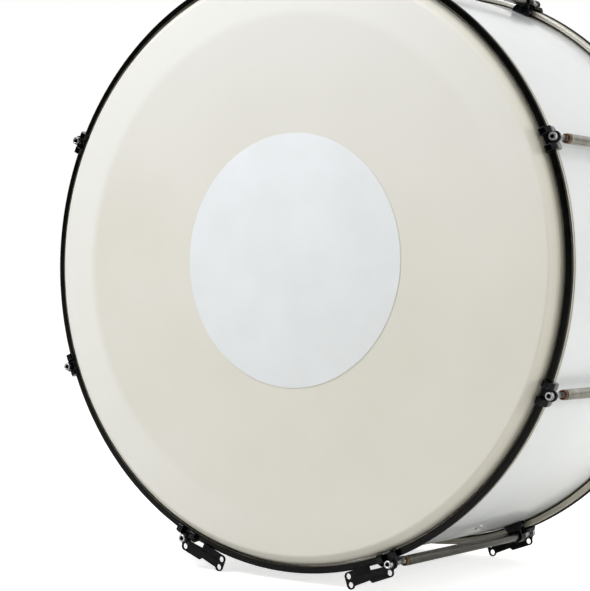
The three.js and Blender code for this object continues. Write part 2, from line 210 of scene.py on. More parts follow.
def look():
    """The camera stands to the right of the drum's axis, level with its middle, and leans a little."""
    around, up_by, lean = math.radians(34.412), math.radians(-0.954), math.radians(1.423)
    away = 6.125 * HOOP_RADIUS * MM
    level = math.cos(up_by)
    toward = Vector((math.sin(around) * level, -math.cos(around) * level, math.sin(up_by)))
    aim = Vector((0.005 * HOOP_RADIUS, AXIS_Y - HOOP_FACE, AXIS_HEIGHT + 0.09 * HOOP_RADIUS)) * MM
    right = Vector((math.cos(around), math.sin(around), 0))
    up = right.cross(-toward)
    leaned_right = right * math.cos(lean) + up * math.sin(lean)
    leaned_up = up * math.cos(lean) - right * math.sin(lean)
    data = bpy.data.cameras.new("camera")
    camera = new_object("camera", data)
    facing = Matrix((leaned_right, leaned_up, toward)).transposed().to_4x4()
    camera.matrix_world = Matrix.Translation(aim + toward * away) @ facing
    data.sensor_fit = "HORIZONTAL"
    data.sensor_width = 36
    data.lens = 115.13
    data.shift_x = 0.0015
    data.shift_y = -0.1017
    data.clip_start = 0.05
    data.clip_end = 100
    bpy.context.scene.camera = camera


def soft_box(name, place, size, power, colour, mirrored=True):
    """A square lamp that faces the middle of the drum. One that isn't mirrored shows in no gloss."""
    data = bpy.data.lights.new(name, "AREA")
    data.shape = "SQUARE"
    data.size = size
    data.energy = power
    data.color = srgb(colour)[:3]
    lamp = new_object(name, data)
    lamp.location = place
    lamp.rotation_euler = (AXIS - Vector(place)).to_track_quat("-Z", "Y").to_euler()
    lamp.visible_glossy = mirrored


def studio():
    scene = bpy.context.scene
    scene.view_settings.view_transform = "Standard"
    soft_box("key", (-0.8, -1.25, 2.1), 1.1, 38, "#EFF3FF")
    soft_box("side", (2.8, 0.6, 0.85), 1.1, 31, "#FFFFFF")
    soft_box("top", (1.2, 0.4, 3.4), 2.4, 9, "#FFFFFF", mirrored=False)
    soft_box("low", (0.46, 0.1, 0.02), 0.15, 0.3, "#FFFDF6", mirrored=False)

    # The walls of the room light the object evenly, and the camera sees white. Gloss and metal show
    # that white too, behind the drum and above it, duller towards the horizon, and the dark of the
    # room in front.
    world = bpy.data.worlds.new("studio")
    scene.world = world
    world.use_nodes = True
    tree = world.node_tree
    tree.nodes.clear()
    seen = add(tree, "ShaderNodeLightPath").outputs
    way = add(tree, "ShaderNodeTexCoord").outputs["Generated"]
    ways = add(tree, "ShaderNodeSeparateXYZ", {0: way}).outputs
    white = srgb("#FFFFFF")
    walls = add(tree, "ShaderNodeBackground", {"Color": srgb("#F6F3EC"), "Strength": 0.68})
    back = add(tree, "ShaderNodeMapRange", {0: ways["Y"], 1: -0.2, 2: 0.35, 3: 0.03, 4: 1})
    upward = add(tree, "ShaderNodeMapRange", {0: ways["Z"], 1: 0.02, 2: 0.42, 3: 0.5, 4: 1})
    behind = add(tree, "ShaderNodeMath", {0: back, 1: upward}, operation="MULTIPLY")
    above = add(tree, "ShaderNodeMapRange", {0: ways["Z"], 1: 0.25, 2: 0.7})
    bright = add(tree, "ShaderNodeMath", {0: behind, 1: above}, operation="MAXIMUM")
    room = add(tree, "ShaderNodeBackground", {"Color": white, "Strength": bright})
    backdrop = add(tree, "ShaderNodeBackground", {"Color": white, "Strength": 1})
    direct = add(tree, "ShaderNodeMath", {0: seen["Is Camera Ray"], 1: seen["Is Transmission Ray"]},
                 operation="MAXIMUM")
    shown = add(tree, "ShaderNodeMixShader", {0: seen["Is Glossy Ray"], 1: walls, 2: room})
    mixed = add(tree, "ShaderNodeMixShader", {0: direct, 1: shown, 2: backdrop})
    add(tree, "ShaderNodeOutputWorld", {"Surface": mixed})

    bpy.ops.mesh.primitive_plane_add(size=40, location=(0, 0, -0.0005))
    floor = bpy.context.object
    floor.name = "floor"
    floor.data.materials.append(material("matt grey paper", pale_floor))


def pale_floor(tree):
    # Matt grey paper with a fine tooth. The camera sees it lifted to white, with the object's soft
    # shadow on it, and gloss and metal see it lifted a little.
    seen = add(tree, "ShaderNodeLightPath").outputs
    grain = add(tree, "ShaderNodeTexNoise", {"Scale": 900})
    tooth = add(tree, "ShaderNodeBump", {"Height": grain, "Strength": 0.05, "Distance": 0.0002})
    paper = add(tree, "ShaderNodeBsdfPrincipled",
                {"Base Color": srgb("#D8D8D6"), "Roughness": 0.9, "Normal": tooth})
    mirrored = add(tree, "ShaderNodeMath", {0: seen["Is Glossy Ray"], 1: 0.06}, operation="MULTIPLY")
    lift = add(tree, "ShaderNodeMath", {0: seen["Is Camera Ray"], 1: 0.66, 2: mirrored},
               operation="MULTIPLY_ADD")
    glow = add(tree, "ShaderNodeEmission", {"Color": srgb("#FFFFFF"), "Strength": lift})
    return add(tree, "ShaderNodeAddShader", {0: paper, 1: glow})


# finishes

def material(name, surface, *values):
    """A material of this name, whose shader comes from one of the functions below."""
    made = bpy.data.materials.new(name)
    made.use_nodes = True
    tree = made.node_tree
    tree.nodes.clear()
    add(tree, "ShaderNodeOutputMaterial", {"Surface": surface(tree, *values)})
    return made


def from_axis(tree):
    """Object coordinates measured from the drum's axis, in metres."""
    where = add(tree, "ShaderNodeTexCoord").outputs["Object"]
    return add(tree, "ShaderNodeVectorMath", {0: where, 1: -AXIS}, operation="ADD")


def axis_and_radius(tree):
    """Those coordinates, and how far each place lies from the axis."""
    centred = from_axis(tree)
    flat = add(tree, "ShaderNodeVectorMath", {0: centred, 1: (1, 0, 1)}, operation="MULTIPLY")
    return centred, add(tree, "ShaderNodeVectorMath", {0: flat}, operation="LENGTH")


def along_hoop(tree, centred, radius, length, squeeze):
    """A place on a hoop as (way round, along the axis, out), and the same squeezed along the way round,
    for lines that run round the drum."""
    parts = add(tree, "ShaderNodeSeparateXYZ", {0: centred}).outputs
    angle = add(tree, "ShaderNodeMath", {0: parts["X"], 1: parts["Z"]}, operation="ARCTAN2")
    way = add(tree, "ShaderNodeMath", {0: angle, 1: length}, operation="MULTIPLY")
    laid = add(tree, "ShaderNodeCombineXYZ", {"X": way, "Y": parts["Y"], "Z": radius})
    return laid, add(tree, "ShaderNodeMapping", {"Vector": laid, "Scale": (squeeze, 1, 1)})


def two_tones(tree, pattern, start, end, low, high):
    """A colour that drifts between two tones where a pattern passes from one value to another."""
    share = add(tree, "ShaderNodeMapRange", {0: pattern, 1: start, 2: end})
    return add(tree, "ShaderNodeMix", {"Factor": share, 6: srgb(low), 7: srgb(high)}, data_type="RGBA")


def white_lacquer(tree):
    # Polyester lacquer, sprayed on the maple and polished: a deep, even white with a hard gloss and
    # the slow waviness of a sprayed coat, about 25 mm from crest to crest.
    centred = from_axis(tree)
    wave = add(tree, "ShaderNodeTexNoise", {"Vector": centred, "Scale": 40, "Detail": 1, "Roughness": 0.4})
    peel = add(tree, "ShaderNodeTexNoise", {"Vector": centred, "Scale": 420})
    haze = add(tree, "ShaderNodeTexNoise", {"Vector": centred, "Scale": 9, "Detail": 4, "Roughness": 0.6})
    colour = two_tones(tree, haze, 0, 1, "#D5D8DA", "#DBDEE0")
    rough = add(tree, "ShaderNodeMapRange", {0: haze, 1: 0.3, 2: 0.7, 3: 0.12, 4: 0.24})
    slow = add(tree, "ShaderNodeBump", {"Height": wave, "Strength": 0.12, "Distance": 0.0006})
    fine = add(tree, "ShaderNodeBump",
               {"Height": peel, "Strength": 0.05, "Distance": 0.0001, "Normal": slow})
    return add(tree, "ShaderNodeBsdfPrincipled",
               {"Base Color": colour, "Roughness": rough, "IOR": 1.5, "Normal": fine})


def bare_maple(tree, length):
    # Maple veneer, sanded and waxed: pale, with fine straight grain that runs round the drum, lines
    # 1.5 mm apart, and slow figure across it.
    centred, radius = axis_and_radius(tree)
    laid, stretched = along_hoop(tree, centred, radius, length, 0.03)
    grain = add(tree, "ShaderNodeTexNoise",
                {"Vector": stretched, "Scale": 650, "Detail": 4, "Roughness": 0.65, "Distortion": 0.4})
    figure = add(tree, "ShaderNodeTexNoise", {"Vector": laid, "Scale": 14, "Detail": 3})
    share = add(tree, "ShaderNodeMath", {0: grain, 1: figure}, operation="MULTIPLY")
    colour = two_tones(tree, share, 0.12, 0.42, "#B98F5E", "#DDBF92")
    pores = add(tree, "ShaderNodeBump", {"Height": grain, "Strength": 0.3, "Distance": 0.00015})
    return add(tree, "ShaderNodeBsdfPrincipled",
               {"Base Color": colour, "Roughness": 0.55, "IOR": 1.5, "Normal": pores})


def cream_film(tree):
    # Polyester film with a smooth warm coating: satin, slightly cloudy where it is thicker. The
    # muffling ring shows through it as a paler edge band, and painted light confines that band to the
    # upper left. Its upper part is painted whiter, as light from above. The collar is painted grey as
    # shade, darkest in its corner, and fine specks of dust lie all over.
    centred, radius = axis_and_radius(tree)
    inner, outer = (MUFFLER_INNER - 9) * MM, (MUFFLER_INNER + 5) * MM
    band = add(tree, "ShaderNodeMapRange", {0: radius, 1: inner, 2: outer},
               interpolation_type="SMOOTHSTEP")
    # Painted light: the paler band is shown only towards the upper left, where more light falls.
    to_upper_left = add(tree, "ShaderNodeVectorMath", {0: centred, 1: (-0.8, 0, 0.6)},
                        operation="DOT_PRODUCT")
    painted_light_upper_left = add(tree, "ShaderNodeMapRange", {0: to_upper_left, 1: -0.25, 2: 0.25},
                   interpolation_type="SMOOTHSTEP")
    shows = add(tree, "ShaderNodeMath", {0: band, 1: painted_light_upper_left}, operation="MULTIPLY")
    # Painted shade: the collar is made greyer down its slope and darkest in its corner beside the hoop.
    crest, foot = (CREST_RADIUS - 3) * MM, (BEVEL_FOOT_RADIUS - 1.5) * MM
    collar = add(tree, "ShaderNodeMapRange", {0: radius, 1: crest, 2: foot})
    corner = add(tree, "ShaderNodeMapRange", {0: radius, 1: foot - MM, 2: foot + 3 * MM},
                 interpolation_type="SMOOTHSTEP")
    cloud = add(tree, "ShaderNodeTexNoise", {"Vector": centred, "Scale": 5, "Detail": 3})
    grit = add(tree, "ShaderNodeTexNoise",
               {"Vector": centred, "Scale": 900, "Detail": 3, "Roughness": 0.7})
    middle = two_tones(tree, cloud, 0.35, 0.65, "#DAD7CA", "#DFDCD1")
    # Painted light: the head is made whiter and cooler towards the top, as light from above.
    height = add(tree, "ShaderNodeSeparateXYZ", {0: centred}).outputs["Z"]
    painted_top_light = add(tree, "ShaderNodeMapRange", {0: height, 1: 0.04, 2: 0.34, 3: 0, 4: 0.9})
    field = add(tree, "ShaderNodeMix", {"Factor": painted_top_light, 6: middle, 7: srgb("#DFDED8")}, data_type="RGBA")
    head = add(tree, "ShaderNodeMix", {"Factor": shows, 6: field, 7: srgb("#E6E5DD")}, data_type="RGBA")
    bevel = add(tree, "ShaderNodeMix", {"Factor": collar, 6: head, 7: srgb("#D4D1C4")}, data_type="RGBA")
    edge = add(tree, "ShaderNodeMix", {"Factor": corner, 6: bevel, 7: srgb("#B2AFA2")}, data_type="RGBA")
    specks = add(tree, "ShaderNodeMapRange", {0: grit, 1: 0.62, 2: 0.75, 3: 0, 4: 0.3})
    colour = add(tree, "ShaderNodeMix", {"Factor": specks, 6: edge, 7: srgb("#C8C5B8")}, data_type="RGBA")
    rough = add(tree, "ShaderNodeMapRange", {0: grit, 1: 0.3, 2: 0.7, 3: 0.38, 4: 0.55})
    tooth = add(tree, "ShaderNodeBump", {"Height": grit, "Strength": 0.12, "Distance": 0.00006})
    return add(tree, "ShaderNodeBsdfPrincipled", {
        "Base Color": colour, "Roughness": rough, "IOR": 1.6, "Specular IOR Level": 0.35, "Normal": tooth})


def pale_film(tree, low, high):
    # Thin polyester film, laminated white and stuck or laid flat: smooth, cool and a little dull,
    # with the faint mottle of its glue.
    centred = from_axis(tree)
    glue = add(tree, "ShaderNodeTexNoise", {"Vector": centred, "Scale": 16, "Detail": 4, "Roughness": 0.6})
    grit = add(tree, "ShaderNodeTexNoise", {"Vector": centred, "Scale": 1100})
    colour = two_tones(tree, glue, 0.35, 0.65, low, high)
    rough = add(tree, "ShaderNodeMapRange", {0: glue, 1: 0.3, 2: 0.7, 3: 0.36, 4: 0.48})
    tooth = add(tree, "ShaderNodeBump", {"Height": grit, "Strength": 0.08, "Distance": 0.00005})
    return add(tree, "ShaderNodeBsdfPrincipled", {
        "Base Color": colour, "Roughness": rough, "IOR": 1.6, "Specular IOR Level": 0.35, "Normal": tooth})


def black_enamel(tree):
    # Stoved black enamel on a rolled hoop: glossy, faintly brown, with hairline rub marks that run
    # round the drum. Its corners are rubbed dull in places, and its inner lip carries a painted highlight
    # in patches.
    centred, radius = axis_and_radius(tree)
    laid, stretched = along_hoop(tree, centred, radius, HOOP_RADIUS * MM, 0.02)
    rubs = add(tree, "ShaderNodeTexNoise",
               {"Vector": stretched, "Scale": 900, "Detail": 3, "Roughness": 0.7})
    dust = add(tree, "ShaderNodeTexNoise", {"Vector": laid, "Scale": 60, "Detail": 5, "Roughness": 0.7})
    middle = (HOOP_INNER + HOOP_RADIUS) / 2 * MM
    half = (HOOP_RADIUS - HOOP_INNER) / 2 * MM
    offset = add(tree, "ShaderNodeMath", {0: radius, 1: middle}, operation="SUBTRACT")
    from_middle = add(tree, "ShaderNodeMath", {0: offset}, operation="ABSOLUTE")
    corner = add(tree, "ShaderNodeMapRange", {0: from_middle, 1: half - 1.1 * MM, 2: half})
    patches = add(tree, "ShaderNodeMapRange", {0: dust, 1: 0.45, 2: 0.62, 3: 0.1, 4: 0.7})
    worn = add(tree, "ShaderNodeMath", {0: corner, 1: patches}, operation="MULTIPLY")
    base = two_tones(tree, dust, 0.4, 0.7, "#050504", "#0B0A08")
    lines = add(tree, "ShaderNodeMapRange", {0: rubs, 1: 0.58, 2: 0.72, 3: 0, 4: 0.3})
    rubbed = add(tree, "ShaderNodeMix", {"Factor": lines, 6: base, 7: srgb("#171511")}, data_type="RGBA")
    dulled = add(tree, "ShaderNodeMix", {"Factor": worn, 6: rubbed, 7: srgb("#26241F")}, data_type="RGBA")
    # Painted highlight: a pale line in patches along the hoop's inner lip, where its corner would catch
    # light.
    lip_end = HOOP_INNER * MM + 0.9 * MM
    lip = add(tree, "ShaderNodeMapRange", {0: radius, 1: lip_end - 0.6 * MM, 2: lip_end, 3: 1, 4: 0})
    lip_glint_patches = add(tree, "ShaderNodeMapRange", {0: dust, 1: 0.35, 2: 0.6, 3: 0.35, 4: 0.95})
    lip_highlight = add(tree, "ShaderNodeMath", {0: lip, 1: lip_glint_patches}, operation="MULTIPLY")
    colour = add(tree, "ShaderNodeMix", {"Factor": lip_highlight, 6: dulled, 7: srgb("#6E6B60")},
                 data_type="RGBA")
    rough = add(tree, "ShaderNodeMapRange", {0: dust, 1: 0.3, 2: 0.7, 3: 0.12, 4: 0.24})
    hairs = add(tree, "ShaderNodeBump", {"Height": rubs, "Strength": 0.06, "Distance": 0.0001})
    return add(tree, "ShaderNodeBsdfPrincipled", {
        "Base Color": colour, "Roughness": rough, "IOR": 1.5, "Specular IOR Level": 0.16, "Normal": hairs})


def dirt_and_wear(tree, where):
    """Patches of dirt about 9 mm wide, and how far the ridges between them are rubbed."""
    dirt = add(tree, "ShaderNodeTexNoise", {"Vector": where, "Scale": 110, "Detail": 5, "Roughness": 0.65})
    bend = add(tree, "ShaderNodeNewGeometry").outputs["Pointiness"]
    ridge = add(tree, "ShaderNodeMapRange", {0: bend, 1: 0.53, 2: 0.62})
    patches = add(tree, "ShaderNodeMapRange", {0: dirt, 1: 0.42, 2: 0.6, 3: 0, 4: 0.5})
    return dirt, add(tree, "ShaderNodeMath", {0: ridge, 1: patches}, operation="MULTIPLY")


def black_nickel(tree):
    # Zinc casting, tumbled and plated black nickel: dark and mirror-like, so it shows black where the
    # room is dark and grey where it is bright. Ridges are rubbed paler. The rear claw's barrel is left
    # in bright nickel, and the front claw's wings carry a painted sheen on their outer faces; a mark on
    # the points gives both.
    where = add(tree, "ShaderNodeTexCoord").outputs["Object"]
    grain = add(tree, "ShaderNodeTexNoise", {"Vector": where, "Scale": 900})
    dirt, worn = dirt_and_wear(tree, where)
    bright = add(tree, "ShaderNodeAttribute", attribute_name="bright").outputs["Fac"]
    base = two_tones(tree, dirt, 0, 1, "#131416", "#353637")
    rubbed = add(tree, "ShaderNodeMix", {"Factor": worn, 6: base, 7: srgb("#9A9B9C")}, data_type="RGBA")
    colour = add(tree, "ShaderNodeMix", {"Factor": bright, 6: rubbed, 7: srgb("#A9A9A5")},
                 data_type="RGBA")
    rough = add(tree, "ShaderNodeMapRange", {0: dirt, 1: 0.3, 2: 0.7, 3: 0.08, 4: 0.22})
    skin = add(tree, "ShaderNodeBump", {"Height": grain, "Strength": 0.15, "Distance": 0.0001})
    return add(tree, "ShaderNodeBsdfPrincipled",
               {"Base Color": colour, "Metallic": 1, "Roughness": rough, "Normal": skin})


def black_coat(tree):
    # Sheet steel, powder coated black: semi-gloss with an orange peel of about 1 mm, and a little
    # paler where its rim has rubbed.
    where = add(tree, "ShaderNodeTexCoord").outputs["Object"]
    peel = add(tree, "ShaderNodeTexNoise", {"Vector": where, "Scale": 850})
    dirt, worn = dirt_and_wear(tree, where)
    base = two_tones(tree, dirt, 0, 1, "#030303", "#080908")
    colour = add(tree, "ShaderNodeMix", {"Factor": worn, 6: base, 7: srgb("#343536")}, data_type="RGBA")
    rough = add(tree, "ShaderNodeMapRange", {0: dirt, 1: 0.3, 2: 0.7, 3: 0.24, 4: 0.4})
    skin = add(tree, "ShaderNodeBump", {"Height": peel, "Strength": 0.2, "Distance": 0.0001})
    return add(tree, "ShaderNodeBsdfPrincipled", {
        "Base Color": colour, "Roughness": rough, "IOR": 1.5, "Specular IOR Level": 0.16, "Normal": skin})


def satin_aluminium(tree):
    # Aluminium channel, rolled and lightly anodised: a warm grey with drawn lines that run round the
    # drum, about 0.5 mm apart. Its two grooves and the gap beside the film are darkened with painted shade.
    centred, radius = axis_and_radius(tree)
    laid, stretched = along_hoop(tree, centred, radius, FLESH_HOOP_RADIUS * MM, 0.012)
    drawn = add(tree, "ShaderNodeTexNoise",
                {"Vector": stretched, "Scale": 1800, "Detail": 3, "Roughness": 0.7})
    tarnish = add(tree, "ShaderNodeTexNoise", {"Vector": laid, "Scale": 30, "Detail": 4})
    clean = two_tones(tree, tarnish, 0, 1, "#B3AF9F", "#D6D2C6")
    # Painted shade: the metal is darkened in its two grooves and in the gap beside the film.
    axial = add(tree, "ShaderNodeSeparateXYZ", {0: centred}).outputs["Y"]
    along = add(tree, "ShaderNodeMath", {0: axial}, operation="ABSOLUTE")
    from_groove = add(tree, "ShaderNodeMath", {0: along, 1: GROOVE_AT * MM}, operation="SUBTRACT")
    nearest = add(tree, "ShaderNodeMath", {0: from_groove, 1: GROOVE_STEP / 2 * MM}, operation="PINGPONG")
    groove_shade = add(tree, "ShaderNodeMapRange", {0: nearest, 1: 0.3 * MM, 2: 0.7 * MM, 3: 0.8, 4: 0})
    gap, gap_end = CHANNEL_GAP * MM, (CHANNEL_GAP + 1) * MM
    inside = add(tree, "ShaderNodeMapRange", {0: radius, 1: gap, 2: gap_end, 3: 1, 4: 0})
    back, face = (FLESH_HOOP_FACE - 1.2) * MM, (FLESH_HOOP_FACE - 0.7) * MM
    behind_face = add(tree, "ShaderNodeMapRange", {0: along, 1: back, 2: face, 3: 1, 4: 0})
    gap_shade = add(tree, "ShaderNodeMath", {0: inside, 1: behind_face}, operation="MULTIPLY")
    # This dark mix is painted shade.
    dirt = add(tree, "ShaderNodeMath", {0: groove_shade, 1: gap_shade}, operation="MAXIMUM")
    colour = add(tree, "ShaderNodeMix", {"Factor": dirt, 6: clean, 7: srgb("#4C493E")}, data_type="RGBA")
    rough = add(tree, "ShaderNodeMapRange", {0: drawn, 1: 0.3, 2: 0.7, 3: 0.3, 4: 0.5})
    lines = add(tree, "ShaderNodeBump", {"Height": drawn, "Strength": 0.3, "Distance": 0.00008})
    return add(tree, "ShaderNodeBsdfPrincipled",
               {"Base Color": colour, "Metallic": 1, "Roughness": rough, "Normal": lines})


def drawn_metal(tree, low, high, smoothest, roughest, stretch):
    # Steel, aluminium or brass, drawn or turned: bright, with fine lines along the way it was worked
    # and a slight tarnish in patches of about 20 mm. A mark on its points darkens it: oil between the
    # threads, and painted shade in a key's recess and on the lowest tubes.
    where = add(tree, "ShaderNodeTexCoord").outputs["Object"]
    stretched = add(tree, "ShaderNodeMapping", {"Vector": where, "Scale": stretch})
    worked = add(tree, "ShaderNodeTexNoise",
                 {"Vector": stretched, "Scale": 1500, "Detail": 3, "Roughness": 0.7})
    tarnish = add(tree, "ShaderNodeTexNoise",
                  {"Vector": where, "Scale": 50, "Detail": 4, "Roughness": 0.6})
    clean = two_tones(tree, tarnish, 0.35, 0.65, low, high)
    grime_and_shade = add(tree, "ShaderNodeAttribute", attribute_name="grime_and_shade").outputs["Fac"]
    colour = add(tree, "ShaderNodeMix", {"Factor": grime_and_shade, 6: clean, 7: srgb("#1B1916")}, data_type="RGBA")
    rough = add(tree, "ShaderNodeMapRange", {0: worked, 1: 0.3, 2: 0.7, 3: smoothest, 4: roughest})
    lines = add(tree, "ShaderNodeBump", {"Height": worked, "Strength": 0.08, "Distance": 0.00005})
    return add(tree, "ShaderNodeBsdfPrincipled",
               {"Base Color": colour, "Metallic": 1, "Roughness": rough, "Normal": lines})


# makers

def new_tree(name, inputs):
    """A Geometry Nodes tree with named inputs, and the outputs of its input node."""
    tree = bpy.data.node_groups.new(name, "GeometryNodeTree")
    tree.interface.new_socket("Geometry", in_out="INPUT", socket_type="NodeSocketGeometry")
    for label, kind in inputs:
        tree.interface.new_socket(label, in_out="INPUT", socket_type="NodeSocket" + kind)
    tree.interface.new_socket("Geometry", in_out="OUTPUT", socket_type="NodeSocketGeometry")
    return tree, add(tree, "NodeGroupInput").outputs


def end_tree(tree, shape, material):
    """Every tree ends in real faces with their finish."""
    real = add(tree, "GeometryNodeRealizeInstances", {"Geometry": shape})
    finished = add(tree, "GeometryNodeSetMaterial", {"Geometry": real, "Material": material})
    add(tree, "NodeGroupOutput", {"Geometry": finished})
    return tree


def turning_tree():
    """Turns a profile about an axis along Y. The profile's points hold how round each corner is."""
    tree, given = new_tree("Turned part", [
        ("Steps", "Int"), ("Corner Steps", "Int"), ("Path Radius", "Float"), ("Place", "Vector"),
        ("Material", "Material")])
    line = add(tree, "GeometryNodeMeshToCurve", {"Mesh": given["Geometry"]})
    corner = add(tree, "GeometryNodeInputNamedAttribute", {"Name": "corner"}, data_type="FLOAT")
    rounded = add(tree, "GeometryNodeFilletCurve", {
        "Curve": line, "Radius": corner, "Limit Radius": True, "Count": given["Corner Steps"]}, mode="POLY")
    path = add(tree, "GeometryNodeCurvePrimitiveCircle",
               {"Resolution": given["Steps"], "Radius": given["Path Radius"]})
    turned = add(tree, "GeometryNodeCurveToMesh", {"Curve": path, "Profile Curve": rounded})
    closed = add(tree, "GeometryNodeMergeByDistance", {"Geometry": turned, "Distance": 1e-6})
    placed = add(tree, "GeometryNodeTransform",
                 {"Geometry": closed, "Rotation": (math.pi / 2, 0, 0), "Translation": given["Place"]})
    return end_tree(tree, placed, given["Material"])


def stations_tree():
    """Puts a part, built at the top of the drum round its axis, at each station's clock angle."""
    tree, given = new_tree("Parts at stations", [
        ("Part", "Object"), ("Axis", "Vector"), ("Material", "Material")])
    held = add(tree, "GeometryNodeObjectInfo", {"Object": given["Part"], "As Instance": False})
    part = held.outputs["Geometry"]
    clock = add(tree, "GeometryNodeInputNamedAttribute", {"Name": "clock"}, data_type="FLOAT")
    turn = add(tree, "FunctionNodeAxisAngleToRotation", {"Axis": (0, 1, 0), "Angle": clock})
    copies = add(tree, "GeometryNodeInstanceOnPoints",
                 {"Points": given["Geometry"], "Instance": part, "Rotation": turn})
    placed = add(tree, "GeometryNodeTransform", {"Geometry": copies, "Translation": given["Axis"]})
    return end_tree(tree, placed, given["Material"])


def new_object(name, data):
    made = bpy.data.objects.new(name, data)
    bpy.context.scene.collection.objects.link(made)
    return made


def baked(made, name, smooth):
    """The evaluated object as a plain mesh with outward faces, and nothing left of what made it."""
    graph = bpy.context.evaluated_depsgraph_get()
    mesh = bpy.data.meshes.new_from_object(made.evaluated_get(graph), depsgraph=graph)
    bpy.data.objects.remove(made)
    form = bmesh.new()
    form.from_mesh(mesh)
    bmesh.ops.remove_doubles(form, verts=form.verts, dist=1e-6)
    bmesh.ops.recalc_face_normals(form, faces=form.faces)
    form.to_mesh(mesh)
    form.free()
    mesh.shade_smooth()
    mesh.set_sharp_from_angle(angle=math.radians(smooth))
    mesh.name = name
    return new_object(name, mesh)


def mark(mesh, name, values):
    """Gives each point of a mesh its value of a named attribute."""
    mesh.attributes.new(name, "FLOAT", "POINT").data.foreach_set("value", values)


def run_tree(name, mesh, tree, values, smooth=30):
    made = new_object(name + "_source", mesh)
    modifier = made.modifiers.new("rule", "NODES")
    modifier.node_group = tree
    for item in tree.interface.items_tree:
        if item.in_out == "INPUT" and item.name in values:
            modifier[item.identifier] = values[item.name]
    return baked(made, name, smooth)


def turn(name, profile, finish, place=AXIS, steps=RING_STEPS, closed=True, corner_steps=3):
    """A turned part from its profile of (radius, distance towards the front, corner radius). Its path is
    a small circle, and the profile is drawn from that circle's edge."""
    path_radius = 1
    mesh = bpy.data.meshes.new(name)
    points = [((radius - path_radius) * MM, -along * MM, 0) for radius, along, _ in profile]
    edges = [(i, i + 1) for i in range(len(points) - 1)]
    if closed:
        edges.append((len(points) - 1, 0))
    mesh.from_pydata(points, edges, [])
    mark(mesh, "corner", [corner * MM for _, _, corner in profile])
    return run_tree(name, mesh, TURNING, {
        "Steps": steps, "Corner Steps": corner_steps, "Path Radius": path_radius * MM, "Place": place,
        "Material": finish})


def towards(side, profile):
    """A profile of (radius, at, corner) as turn() wants it, for the front or the rear."""
    return [(radius, -side * at, corner) for radius, at, corner in profile]


def hand_over(piece, body, slot, *nodes):
    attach(piece, body)
    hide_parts(*nodes)


def at_stations(name, part, numbers, finish, body, slot, node, smooth=30):
    """Puts the part at the stations with these numbers, as one piece in place of a node for each."""
    mesh = bpy.data.meshes.new(name)
    mesh.from_pydata([(0, 0, 0)] * len(numbers), [], [])
    mark(mesh, "clock", [STATIONS[n - 1] for n in numbers])
    piece = run_tree(name, mesh, STATION_RING, {"Part": part, "Axis": AXIS, "Material": finish}, smooth)
    bpy.data.objects.remove(part)
    hand_over(piece, body, slot, *[node.format(n) for n in numbers])
    return piece


def rings(sections, steps):
    """A round body along Y from rings of (at, radius of an angle), with both ends closed."""
    form = bmesh.new()
    loops = []
    for at, radius in sections:
        loop = []
        for i in range(steps):
            angle = math.tau * i / steps
            reach = radius(angle) if callable(radius) else radius
            point = Vector((reach * math.sin(angle), at, reach * math.cos(angle)))
            loop.append(form.verts.new(point * MM))
        loops.append(loop)
    for low, high in zip(loops, loops[1:]):
        for i in range(steps):
            j = (i + 1) % steps
            form.faces.new((low[i], low[j], high[j], high[i]))
    for loop in (loops[0], loops[-1]):
        middle = form.verts.new(sum((v.co for v in loop), Vector()) / steps)
        for i in range(steps):
            form.faces.new((loop[i], loop[(i + 1) % steps], middle))
    return form


def arc(x, y, radius, start, end, steps):
    """Points on an arc round (x, y), with its two ends in degrees."""
    angles = [math.radians(start + (end - start) * i / steps) for i in range(steps + 1)]
    return [(x + radius * math.cos(a), y + radius * math.sin(a)) for a in angles]


def block(form, outline, axis, low, high):
    """Adds a closed block to a form: an outline in the two axes other than its own, and two ends."""
    def corner(point, at):
        u, v = point
        return Vector({"X": (at, u, v), "Y": (u, at, v), "Z": (u, v, at)}[axis]) * MM
    ends = [[form.verts.new(corner(point, at)) for point in outline] for at in (low, high)]
    form.faces.new(ends[0])
    form.faces.new(ends[1])
    for i in range(len(outline)):
        j = (i + 1) % len(outline)
        form.faces.new((ends[0][i], ends[0][j], ends[1][j], ends[1][i]))


def solid(form, name):
    bmesh.ops.recalc_face_normals(form, faces=form.faces)
    mesh = bpy.data.meshes.new(name)
    form.to_mesh(mesh)
    form.free()
    return new_object(name, mesh)


def cast(name, form, cuts):
    """Melts overlapping blocks into one casting with soft edges, then cuts its bores."""
    made = solid(form, name + "_blank")
    melt = made.modifiers.new("melt", "REMESH")
    melt.mode = "VOXEL"
    melt.voxel_size = CAST_VOXEL * MM
    soften = made.modifiers.new("soften", "SMOOTH")
    soften.factor = 0.5
    soften.iterations = 7
    thin = made.modifiers.new("thin", "DECIMATE")
    thin.ratio = CAST_KEEP
    cutter = solid(cuts, name + "_cuts")
    cut = made.modifiers.new("bores", "BOOLEAN")
    cut.operation = "DIFFERENCE"
    cut.solver = "EXACT"
    cut.object = cutter
    part = baked(made, name + "_part", CAST_SMOOTH)
    bpy.data.objects.remove(cutter)
    return part


def rod(form, radius, low, high):
    """Adds a round block on the screw line."""
    steps = 32
    outline = arc(0, SCREW_RADIUS, radius, 0, 360 * (steps - 1) / steps, steps - 1)
    block(form, outline, "Y", low, high)


# the drum's pieces

